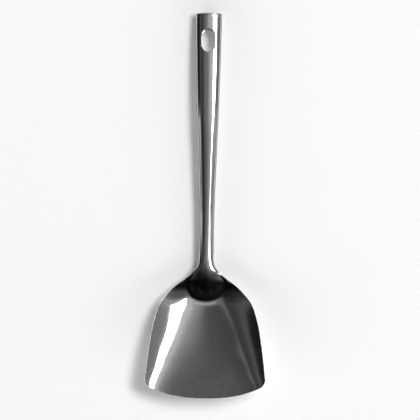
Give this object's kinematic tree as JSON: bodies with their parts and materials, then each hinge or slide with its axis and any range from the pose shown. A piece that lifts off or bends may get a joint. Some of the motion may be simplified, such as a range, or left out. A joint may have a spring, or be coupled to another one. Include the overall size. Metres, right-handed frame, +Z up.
{
  "type": "wok spatula",
  "caption": "Stainless steel cooking spatula with a dished shovel blade, a flared neck and a hollow tapered handle with a hanging slot.",
  "frame": {"origin": "on the table that the spatula lies on, under the middle of its overall box", "axes": "+Y from the blade along the handle to its hanging end, +X to the right seen from above, +Z up from the table, out of the dish"},
  "size_m": [0.1042, 0.334, 0.0216],
  "materials": {
    "blade_steel": "polished",
    "handle_steel": "polished",
    "weld_steel": "ground flush and polished"
  },
  "bodies": {
    "root": {"blade": "blade_steel", "handle_front_shell": "handle_steel", "handle_back_shell": "handle_steel", "end_cap": "handle_steel", "side_seam_welds": "weld_steel", "neck_weld": "weld_steel", "end_cap_weld": "weld_steel"}
  },
  "joints": []
}
